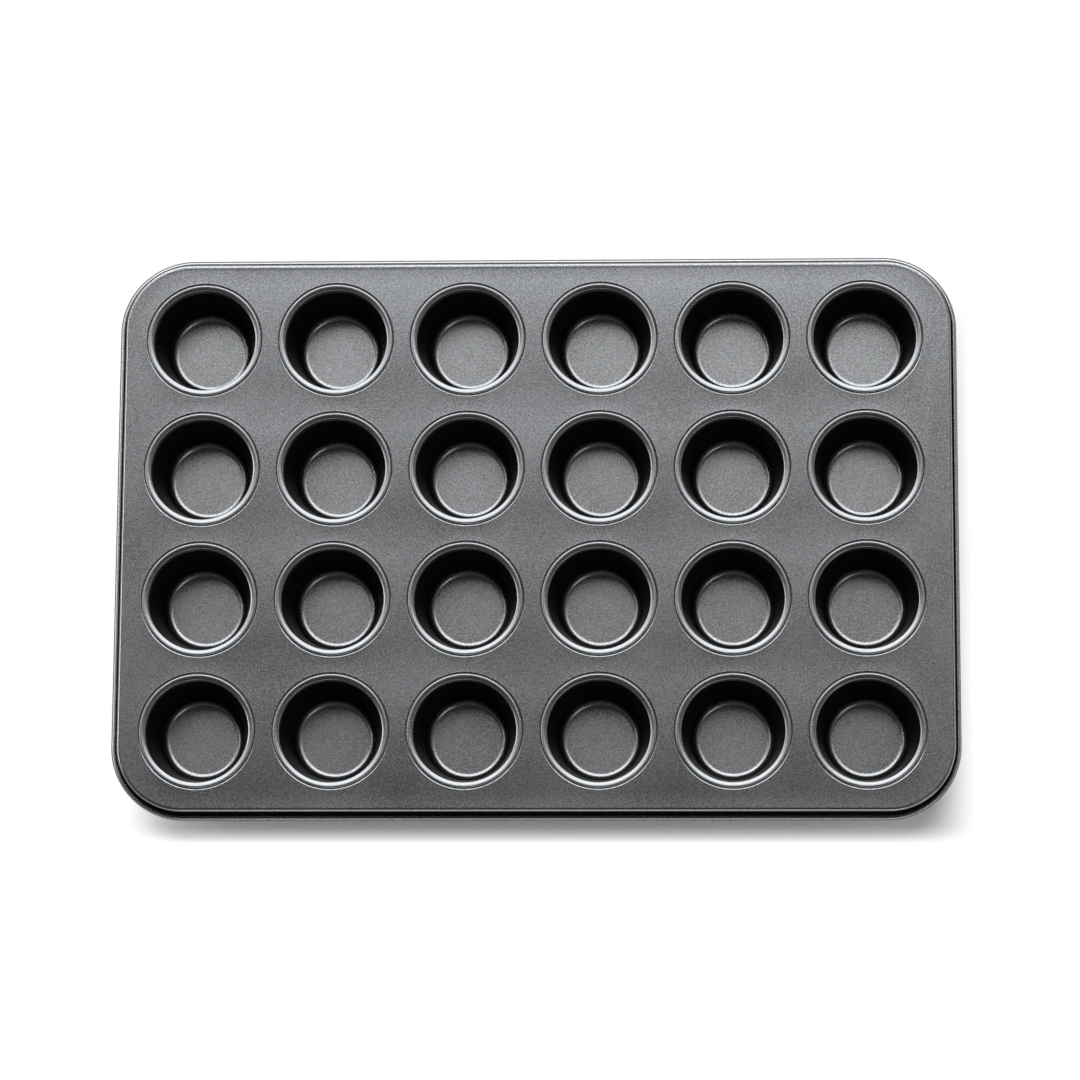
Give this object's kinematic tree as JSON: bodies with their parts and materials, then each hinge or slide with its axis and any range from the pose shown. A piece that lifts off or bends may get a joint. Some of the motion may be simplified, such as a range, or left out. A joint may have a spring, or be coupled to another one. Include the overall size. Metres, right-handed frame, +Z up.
{
  "type": "muffin pan",
  "caption": "Rectangular coated-steel muffin pan: small tapered cups crimped into a flat sheet with rounded corners, a turned-down skirt and a wired, rolled hem.",
  "frame": {"origin": "on the surface that the cups stand on, under the middle of the rim", "axes": "+X along the pan's length, +Y towards its back edge, +Z up out of the cups' mouths"},
  "size_m": [0.4012, 0.2716, 0.0313],
  "materials": {
    "sheet_coat": "satin grey non-stick coat with a fine metallic grain",
    "cup_coat": "satin grey non-stick coat, smoother on the drawn walls",
    "hem_wire": "bare drawn wire"
  },
  "bodies": {
    "root": {"frame_sheet": "sheet_coat", "cup_r1_c1": "cup_coat", "cup_r1_c2": "cup_coat", "cup_r1_c3": "cup_coat", "cup_r1_c4": "cup_coat", "cup_r1_c5": "cup_coat", "cup_r1_c6": "cup_coat", "cup_r2_c1": "cup_coat", "cup_r2_c2": "cup_coat", "cup_r2_c3": "cup_coat", "cup_r2_c4": "cup_coat", "cup_r2_c5": "cup_coat", "cup_r2_c6": "cup_coat", "cup_r3_c1": "cup_coat", "cup_r3_c2": "cup_coat", "cup_r3_c3": "cup_coat", "cup_r3_c4": "cup_coat", "cup_r3_c5": "cup_coat", "cup_r3_c6": "cup_coat", "cup_r4_c1": "cup_coat", "cup_r4_c2": "cup_coat", "cup_r4_c3": "cup_coat", "cup_r4_c4": "cup_coat", "cup_r4_c5": "cup_coat", "cup_r4_c6": "cup_coat", "rim_wire": "hem_wire"}
  },
  "joints": []
}
